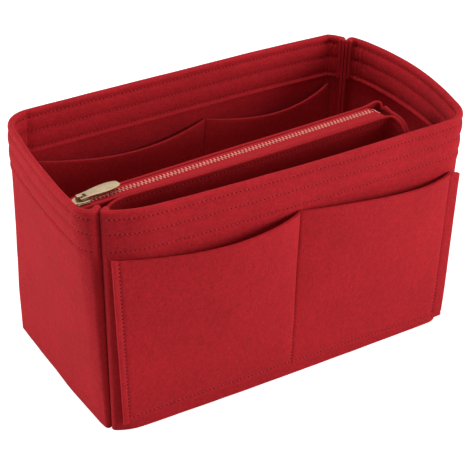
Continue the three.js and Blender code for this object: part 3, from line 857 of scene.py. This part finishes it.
# The flange's top rounds down to its tip. At the back right corner the felt stands up in a peak, with
# a notch beside it where the edge turns, and at the left the front panel rises into the seam.
def compartment_top_at(point):
    roundness = compartment_flange - compartment_bend / 2
    from_tip = point.y - flange_tip_y(0)
    from_back_face = abs(point.y - zip_line_y(point.x, 0) - compartment_back_reach)
    from_corner = compartment_right_x - point.x + from_back_face
    peak = peak_height * math.exp(-((from_corner / peak_width) ** 2))
    past_corner = point.x > compartment_right_x - felt_thickness / 2
    notch = notch_depth * math.exp(-(((from_corner - notch_place) / notch_width) ** 2)) * past_corner
    into_seam = seam_rise * eased((compartment_seam_x + seam_rise_start - point.x) / seam_rise_run)
    is_front = point.y < 0 and point.y < zip_line_y(point.x, 0) - front_reaches[0]
    top = compartment_top + peak - notch + into_seam * is_front
    if point.x < compartment_right_x - compartment_bend or from_tip > roundness:
        return top
    past = roundness - max(from_tip, 0)
    return top - roundness + math.sqrt(roundness ** 2 - past ** 2)


def straight_run(start, end, steps):
    return [lerp(start, end, step / steps) for step in range(steps)]


def compartment_front_run(height):
    seam_tip = place_at(front_left_seam, height, -1, -1)
    seam_tip += Vector((1, 1)).normalized() * (seam_allowance + sewn_gap + felt_thickness / 2)
    seam_tip += Vector((1, -1)).normalized() * (felt_thickness / 2)

    def on_line(x):
        return Vector((x, zip_line_y(x, height) - front_reach(x)))

    turn_x = seam_tip.x + compartment_corner_run * compartment_turn_share
    turn_end = on_line(seam_tip.x + compartment_corner_run)
    flange_x = compartment_right_x - felt_thickness - sewn_gap
    bend_start = on_line(flange_x - compartment_bend)
    bend_end = on_line(flange_x) - Vector((0, compartment_bend))
    tip = Vector((flange_x, flange_tip_y(height)))
    line_shares = [step / compartment_line_steps for step in range(compartment_line_steps)]
    return [
        *curve_run((seam_tip, on_line(turn_x), turn_end), compartment_corner_steps),
        *[on_line(lerp(turn_end.x, bend_start.x, share)) for share in line_shares],
        *curve_run((bend_start, on_line(flange_x), bend_end), compartment_bend_steps),
        *straight_run(bend_end, tip, compartment_bend_steps),
        tip,
    ]


def compartment_back_run(height):
    def on_line(x):
        return Vector((x, zip_line_y(x, height) + compartment_back_reach))

    wall_place = curve_point(end_wall(back_walls, height), compartment_wall_share)
    wall_x = hem_thickness + sewn_gap - wall_place.x
    bend_start = on_line(compartment_right_x - compartment_back_bend)
    corner = on_line(compartment_right_x)
    bend_end = corner - Vector((0, compartment_back_bend))
    tip = Vector((compartment_right_x, flange_tip_y(height)))
    return [
        *straight_run(on_line(wall_x), bend_start, compartment_back_line_steps),
        *curve_run((bend_start, corner, bend_end), compartment_bend_steps),
        *straight_run(bend_end, tip, compartment_back_flange_steps),
        tip,
    ]


compartment_lines = [1 - compartment_stitch_drop / compartment_height]
compartment_row_shares = shares_near(0, 1, rise_steps, compartment_lines, stitch_press / compartment_height)


def compartment_panel(name, run_at, node, sewn_side):
    floor_run = run_at(0)
    tops = [compartment_top_at(point) for point in floor_run]
    runs = {}

    def face(column, height, depth):
        key = round(height / height_step)
        if key not in runs:
            points = run_at(height)
            runs[key] = points, left_normals(points)
        points, normals = runs[key]
        ripple = felt_ripple(Vector((points[column].x, points[column].y, height))) * compartment_ripple_share
        point = points[column] + normals[column] * (depth + ripple)
        return Vector((point.x, point.y, height)), normals[column].to_3d()

    def place(column, row):
        height = lerp(compartment_floor, tops[column], compartment_row_shares[row])
        return face(column, height, felt_thickness / 2)[0]

    def thinness(column, row):
        height = lerp(compartment_floor, tops[column], compartment_row_shares[row])
        return 1 - compartment_press_share * pressed(tops[column] - compartment_stitch_drop - height)

    piece, flat, _ = felt_sheet(name, len(floor_run) - 1, len(compartment_row_shares) - 1, place,
                                felt_thickness, inner_felt_painted_shade, thinness)
    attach(piece, "organizer")
    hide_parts(node)
    depth = felt_thickness * (1 / 2 + sewn_side * compartment_stitch_share)
    line = []
    for column in range(len(floor_run)):
        spot, left = face(column, tops[column] - compartment_stitch_drop, depth)
        line.append((spot, left * sewn_side))
    stitching(name.replace("felt", "stitching"), [line[2:-1]])


compartment_panel("zip_pocket_front_felt", compartment_front_run, "zip_pocket_front_panel", -1)
compartment_panel("zip_pocket_back_felt", compartment_back_run, "zip_pocket_back_panel", 1)

# Zip tapes: two woven cotton tapes. Each grips its row of teeth on a corded edge, lies flat as far as
# the felt, and is turned down behind the felt that it is sewn to.
tape_thickness = 0.8 * mm
tape_turn_down = 7 * mm
tape_inner_edge = 1 * mm
tape_cord_middle = 1.7 * mm
tape_cord_rise = 0.35 * mm
tape_left_end = -125.6 * mm
tape_right_end = 112 * mm
tape_steps = 180
tape_bend = 1 * mm
tape_flat_steps, tape_bend_steps, tape_down_steps = 14, 3, 4
weave_bump = 0.15 * mm
tape_wave, tape_waves = 0.3 * mm, 60
tape_cord_tightness = 1.4
zip_droop_start = 106.5 * mm
zip_droop_end = Vector((0, -0.8 * mm, -2 * mm))
zip_frame = Matrix.Translation((zip_middle.x, zip_middle.y, zip_height)) @ Matrix.Rotation(zip_yaw, 4, "Z")


# Cotton tape: a fine herringbone weave that follows the tape's own length
def woven_tape(name, color):
    material, tree = new_material(name)
    place = add_node(tree, "ShaderNodeTexCoord", {}, "UV")
    weave = add_node(tree, "ShaderNodeTexWave", {"Vector": place, "Scale": 420, "Distortion": 1}, "Fac")
    weave.node.bands_direction = "DIAGONAL"
    blend = add_node(tree, "ShaderNodeMath", {0: weave, 1: 0.4, 2: cloud(tree, 600)}, "Value", "MULTIPLY_ADD")
    fill(tree, tree.nodes["Principled BSDF"], {
        "Base Color": tinted(tree, spread(tree, blend, 0.75, 1.15, 0.3, 1.1), color),
        "Roughness": 0.85,
        "Normal": bumped(tree, blend, weave_bump),
        "Specular IOR Level": 0.1,
    })
    return material


zip_tape_red = woven_tape("zip_tape_red", (0.53, 0.022, 0.03))


# The zip's right end sinks a little and turns to the front, where the compartment closes
def zip_droop(along):
    share = eased((along - zip_droop_start) / (tape_right_end - zip_droop_start))
    return zip_droop_end * share


# A tape's section at a place along the zip, as distances from the chain's middle and heights
def tape_section(outer):
    bend_start = Vector((outer - tape_bend, 0))
    bend_end = Vector((outer, -tape_bend))
    foot = Vector((outer, -tape_turn_down))
    flat = straight_run(Vector((tape_inner_edge, 0)), bend_start, tape_flat_steps)
    turn = curve_run((bend_start, Vector((outer, 0)), bend_end), tape_bend_steps)
    down = straight_run(bend_end, foot, tape_down_steps)
    section = []
    for across, rise in [*flat, *turn, *down, foot]:
        cord = tape_cord_rise * pressed((across - tape_cord_middle) * tape_cord_tightness)
        section.append(Vector((across, rise + cord)))
    return section


def tape_reach(side, along):
    if side > 0:
        return (compartment_back_reach - sewn_gap) * math.cos(zip_yaw)
    x = (zip_frame @ Vector((along, 0, 0))).x
    return (front_reach(x) - felt_thickness - sewn_gap) * math.cos(zip_yaw)


def zip_tape(name, side, node):
    def place(column, row):
        along = lerp(tape_left_end, tape_right_end, column / tape_steps)
        outer = tape_reach(side, along) - tape_thickness / 2
        across, rise = tape_section(outer)[row]
        set_back = -compartment_lean * rise / zip_height
        wave = tape_wave * noise.noise(Vector((along * tape_waves, side, 0))) * eased(across / outer)
        return zip_frame @ (Vector((along, side * across + set_back, rise + wave)) + zip_droop(along))

    rows = len(tape_section(tape_turn_down)) - 1
    piece, flat, area = felt_sheet(name, tape_steps, rows, place, tape_thickness, zip_tape_red)
    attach(piece, "organizer")
    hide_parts(node)


zip_tape("front_zip_tape", -1, "zip_tape_front")
zip_tape("back_zip_tape", 1, "zip_tape_back")

# Zip chain: stamped teeth of pale gold metal, clamped on the tapes' corded edges. The rows mesh half a
# pitch out of step, so that each head lies between two of the other row.
tooth_pitch = 2.65 * mm
tooth_length = 0.98 * mm
tooth_height = 2 * mm
tooth_heel = 2.3 * mm
tooth_head = -0.45 * mm
tooth_bevel = 0.18 * mm
scratch_bump = 0.03 * mm
head_height_share = 0.72
head_length_share = 0.85
mouth_parting, mouth_reach, mouth_fade = 0.9 * mm, 9 * mm, 8 * mm
heel_parting_share = 0.2
tolerance = 0.1 * mm
chain_left_end = -122.4 * mm
chain_right_end = 107.8 * mm


# Pale gold plating: soft reflections, fine scratches, and a little darker where it is worn
def pale_gold(name, color):
    material, tree = new_material(name)
    wear = cloud(tree, 180, 3)
    fill(tree, tree.nodes["Principled BSDF"], {
        "Base Color": tinted(tree, spread(tree, wear, 0.85, 1.08), color),
        "Metallic": 1,
        "Roughness": spread(tree, wear, 0.28, 0.5, 0, 1),
        "Normal": bumped(tree, cloud(tree, 1500), scratch_bump),
    })
    return material


chain_gold = pale_gold("chain_gold", (0.76, 0.26, 0.21))
puller_gold = pale_gold("puller_gold", (0.5, 0.37, 0.23))


def metal_piece(name, bm, body, node, color, bevel_width, frame_matrix=zip_frame):
    if body == "organizer":
        for vert in bm.verts:
            vert.co += zip_droop(vert.co.x)
    bmesh.ops.transform(bm, matrix=frame_matrix, verts=bm.verts)
    bmesh.ops.recalc_face_normals(bm, faces=bm.faces)
    piece = piece_from(name, bm, color)
    if bevel_width:
        soften(piece, bevel_width, 2, 35)
    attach(piece, body)
    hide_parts(node)
    return piece


# A box between two corners, with cuts across its length where its section changes
def add_box(bm, lowest, highest, cuts=0):
    middle = (Vector(lowest) + Vector(highest)) / 2
    size = Vector(highest) - Vector(lowest)
    before = len(bm.verts)
    box = Matrix.Translation(middle) @ Matrix.Diagonal((*size, 1))
    made = bmesh.ops.create_cube(bm, size=1, matrix=box)["verts"]
    lengthways = dict.fromkeys(edge for vert in made for edge in vert.link_edges
                               if abs(edge.verts[0].co.x - edge.verts[1].co.x) > size.x / 2)
    if cuts:
        bmesh.ops.subdivide_edges(bm, edges=list(lengthways), cuts=cuts, use_grid_fill=True)
    bm.verts.ensure_lookup_table()
    return bm.verts[before:]


# Towards the slider's mouth the two rows lie further apart
def row_parting(along):
    return mouth_parting * eased((chain_left_end + mouth_reach - along) / mouth_fade)


def chain_row(name, side, node):
    bm = bmesh.new()
    phase = 0 if side < 0 else tooth_pitch / 2
    count = int((chain_right_end - chain_left_end - phase - tooth_length) / tooth_pitch) + 1
    for tooth in range(count):
        along = chain_left_end + phase + tooth * tooth_pitch
        parting = row_parting(along)
        heel = tooth_heel + parting * heel_parting_share
        near, far = sorted((side * (tooth_head + parting), side * heel))
        box = add_box(bm, (along, near, -tooth_height / 2), (along + tooth_length, far, tooth_height / 2))
        for vert in box:
            if side * vert.co.y < tooth_head + parting + tolerance:
                vert.co.z *= head_height_share
                vert.co.x = lerp(along + tooth_length / 2, vert.co.x, head_length_share)
    bmesh.ops.bevel(bm, geom=bm.edges, offset=tooth_bevel, segments=1, profile=0.5, affect="EDGES",
                    material=-1)
    metal_piece(name, bm, "organizer", node, chain_gold, 0)


chain_row("front_zip_teeth", -1, "zip_teeth_front")
chain_row("back_zip_teeth", 1, "zip_teeth_back")

# Stops: bent clips of the chain's metal. There is one on each tape at the left, beyond the closed
# slider, and one over both rows of teeth at the right end.
stop_length = 2.4 * mm
stop_half_width = 3 * mm
stop_height = 2.6 * mm
stop_waist_share = 0.85
stop_gap = 0.9 * mm
stop_bevel = 0.25 * mm
top_stop_start = -125.3 * mm
bottom_stop_start = 108.3 * mm


def zip_stop(name, start, near, far, node):
    bm = bmesh.new()
    box = add_box(bm, (start, near, -stop_height / 2), (start + stop_length, far, stop_height / 2), 2)
    for vert in box:
        from_end = min(vert.co.x - start, start + stop_length - vert.co.x)
        if from_end > tolerance:
            vert.co.z *= stop_waist_share
    metal_piece(name, bm, "organizer", node, chain_gold, stop_bevel)


zip_stop("front_top_stop", top_stop_start, -stop_half_width, -stop_gap, "zip_top_stop_front")
zip_stop("back_top_stop", top_stop_start, stop_gap, stop_half_width, "zip_top_stop_back")
zip_stop("bottom_stop", bottom_stop_start, -stop_half_width, stop_half_width, "zip_bottom_stop")

# Slider: a die-cast body of two plates joined by a wedge at its mouth, with lips that fold round the
# chain. A flat crown stands over the top plate, and the puller's bar lies under it.
slider_middle = -116.5 * mm
slider_length = 10.8 * mm
slider_half_width = 4.2 * mm
slider_plate_inner = 1.7 * mm
slider_plate_outer = 2.8 * mm
slider_lip = 0.8 * mm
slider_slot = 0.8 * mm
slider_wedge = 0.6 * mm
slider_cuts = 5
slider_bevel = 0.3 * mm
nose_share, nose_fullness = 0.25, 0.8
nose_dip, nose_dip_slope = 0.6 * mm, 2.4
lip_share, lip_overlap = 0.6, 0.3 * mm
wedge_shares, wedge_overlap = (0.9, 0.45), 0.2 * mm
crown_width = 1.8 * mm
crown_thickness = 0.8 * mm
crown_half_span = 1.5 * mm
crown_rise = 2.2 * mm
crown_sunk = 0.4 * mm
crown_corner, crown_corner_share = 1.6 * crown_thickness, 0.8
half_slider = slider_length / 2

bm = bmesh.new()
for way in (-1, 1):
    inner, outer = sorted((way * slider_plate_inner, way * slider_plate_outer))
    plate = add_box(bm, (-half_slider, -slider_half_width, inner), (half_slider, slider_half_width, outer),
                    slider_cuts)
    for vert in plate:
        from_mouth = max((vert.co.x + half_slider) / slider_length, 0)
        vert.co.y *= lerp(nose_share, 1, math.sin(math.pi * min(from_mouth, 1 / 2)) ** nose_fullness)
        vert.co.z -= nose_dip * (1 - eased(from_mouth * nose_dip_slope)) * (way > 0)
for side in (-1, 1):
    for way in (-1, 1):
        low, high = sorted((way * slider_slot, way * (slider_plate_inner + lip_overlap)))
        near, far = sorted((side * (slider_half_width - slider_lip), side * slider_half_width))
        add_box(bm, (-half_slider * lip_share, near, low), (half_slider, far, high))
wedge_start, wedge_end = [-half_slider * share for share in wedge_shares]
wedge_height = slider_plate_inner + wedge_overlap
add_box(bm, (wedge_start, -slider_wedge, -wedge_height), (wedge_end, slider_wedge, wedge_height))
crown_foot = slider_plate_outer - crown_sunk
crown_top = slider_plate_outer + crown_rise + crown_thickness
crown_reach = crown_half_span + crown_thickness
crown_under = crown_top - crown_thickness
outside = [(crown_reach, crown_foot), (crown_reach, crown_under), (crown_half_span, crown_top)]
inside = [(crown_half_span, crown_foot), (crown_half_span, crown_top - crown_corner),
          (crown_half_span * crown_corner_share, crown_under)]
arch = [*((-x, z) for x, z in outside), *reversed(outside), *inside, *((-x, z) for x, z in reversed(inside))]
arch_face = bm.faces.new([bm.verts.new((x, -crown_width / 2, z)) for x, z in arch])
arch_sides = bmesh.ops.extrude_face_region(bm, geom=[arch_face])["geom"]
bmesh.ops.translate(bm, vec=(0, crown_width, 0),
                    verts=[item for item in arch_sides if isinstance(item, bmesh.types.BMVert)])
bmesh.ops.triangulate(bm, faces=[face for face in bm.faces if len(face.verts) > 4])
slider_frame = zip_frame @ Matrix.Translation((slider_middle, 0, 0))
metal_piece("zip_slider", bm, "slider", "slider_body", puller_gold, slider_bevel, slider_frame)

# Puller: a flat cast leaf with a window at its root, whose bar lies under the crown. It widens to a
# belly, narrows to its tip, and is left bare.
hinge_rise = 1.2 * mm
puller_root = -0.7 * mm
puller_window = (0.7 * mm, 4.5 * mm)
puller_window_half_width = 1.9 * mm
puller_neck = 3.2 * mm
puller_belly = 4.5 * mm
puller_belly_at = 17.5 * mm
puller_tip = 27.8 * mm
puller_tip_half_width = 1.7 * mm
puller_thickness = 1.3 * mm
puller_dome, puller_dome_run = 0.35 * mm, 4 * mm
puller_softness = 0.35 * mm
puller_tip_fullness = 2.4
puller_belly_steps = 8
puller_tip_steps = 12
puller_droop = 0.4 * mm
puller_tilt = math.radians(1)
puller_yaw = math.radians(5.4)
puller_across_shares = [-1, -0.77, -0.543, -0.27, 0, 0.27, 0.543, 0.77, 1]
puller_along = [puller_root, *puller_window]
for step in range(1, puller_belly_steps + 1):
    puller_along.append(lerp(puller_window[1], puller_belly_at, step / puller_belly_steps))
for step in range(1, puller_tip_steps + 1):
    to_tip = math.sin(math.pi / 2 * step / puller_tip_steps)
    puller_along.append(lerp(puller_belly_at, puller_tip, to_tip))


def puller_half_width(along):
    if along < puller_belly_at:
        widening = eased((along - puller_window[1]) / (puller_belly_at - puller_window[1]))
        return lerp(puller_neck, puller_belly, widening)
    past = (along - puller_belly_at) / (puller_tip - puller_belly_at)
    return lerp(puller_tip_half_width, puller_belly, math.sqrt(max(1 - past ** puller_tip_fullness, 0)))


bm = bmesh.new()
columns = len(puller_along) - 1
rows = len(puller_across_shares) - 1
bmesh.ops.create_grid(bm, x_segments=columns, y_segments=rows, size=half_unit)
for vert in bm.verts:
    along = puller_along[round((vert.co.x + half_unit) * columns)]
    share = puller_across_shares[round((vert.co.y + half_unit) * rows)]
    crowned = puller_dome * (1 - share * share) * eased((along - puller_window[1]) / puller_dome_run)
    droop = puller_droop * eased((along - half_slider) / (puller_tip - half_slider))
    vert.co = Vector((along, share * puller_half_width(along), crowned - droop))
window = [face for face in bm.faces
          if puller_window[0] < face.calc_center_median().x < puller_window[1]
          and abs(face.calc_center_median().y) < puller_window_half_width]
bmesh.ops.delete(bm, geom=window, context="FACES")
hinge_height = slider_plate_outer + hinge_rise
hinge_frame = slider_frame @ Matrix.Translation((0, 0, hinge_height)) @ Matrix.Rotation(puller_yaw, 4, "Z")
hinge_frame = hinge_frame @ Matrix.Rotation(-puller_tilt, 4, "Y")
puller = metal_piece("zip_puller", bm, "puller", "puller", puller_gold, 0, hinge_frame)
for polygon in puller.data.polygons:
    polygon.use_smooth = True
thicken(puller, puller_thickness)
soften(puller, puller_softness, 3, 40)

# Floor and surroundings: pale paper that fades into a white background and keeps the insert's shadow.
floor_half_size = 3
paper, tree = new_material("floor_paper")
camera_ray = add_node(tree, "ShaderNodeLightPath", {}, "Is Camera Ray")
fill(tree, tree.nodes["Principled BSDF"], {
    "Base Color": (0.6, 0.6, 0.6, 1),
    "Emission Color": (1, 1, 1, 1),
    "Emission Strength": times(tree, camera_ray, 0.85),
})
bm = bmesh.new()
bmesh.ops.create_grid(bm, x_segments=1, y_segments=1, size=floor_half_size)
floor = piece_from("floor", bm, paper)

world = bpy.data.worlds.new("studio")
bpy.context.scene.world = world
world.use_nodes = True
tree = world.node_tree
camera_ray = add_node(tree, "ShaderNodeLightPath", {}, "Is Camera Ray")
rays = {0: camera_ray, 1: camera_ray.node.outputs["Is Glossy Ray"]}
seen = add_node(tree, "ShaderNodeMath", rays, "Value", "MAXIMUM")
fill(tree, tree.nodes["Background"], {"Color": (1, 1, 1, 1), "Strength": spread(tree, seen, 0.27, 1, 0, 1)})

lamp_size = 0.7
lamp_target = Vector((0, 0, 0.08))
lamps = {
    "left_light": (Vector((-1.45, 0.84, 0.24)), 17.6),
    "right_light": (Vector((1.18, -1.18, 0.47)), 18.8),
    "top_light": (Vector((0, 0.15, 1.77)), 12),
}
for name, (place, watts) in lamps.items():
    light = bpy.data.lights.new(name, "AREA")
    light.size = lamp_size
    light.energy = watts
    holder = bpy.data.objects.new(name, light)
    holder.location = place
    holder.rotation_euler = (lamp_target - place).to_track_quat("-Z", "Y").to_euler()
    bpy.context.scene.collection.objects.link(holder)

# Camera: where the photograph was taken from
focal_pixels = 1349.96
photo_width = 470
azimuth, elevation, roll = math.radians(-31.14), math.radians(31.53), math.radians(0.95)
camera_data = bpy.data.cameras.new("camera")
camera_data.sensor_width = 36
camera_data.lens = focal_pixels / photo_width * camera_data.sensor_width
camera_data.clip_start = 0.01
camera = bpy.data.objects.new("camera", camera_data)
bpy.context.scene.collection.objects.link(camera)
camera.location = (-0.40293, -0.66729, 0.55067)
turn = Matrix.Rotation(azimuth, 4, "Z") @ Matrix.Rotation(math.pi / 2 - elevation, 4, "X")
camera.rotation_euler = (turn @ Matrix.Rotation(roll, 4, "Z")).to_euler()
bpy.context.scene.camera = camera
bpy.context.scene.view_settings.view_transform = "Standard"
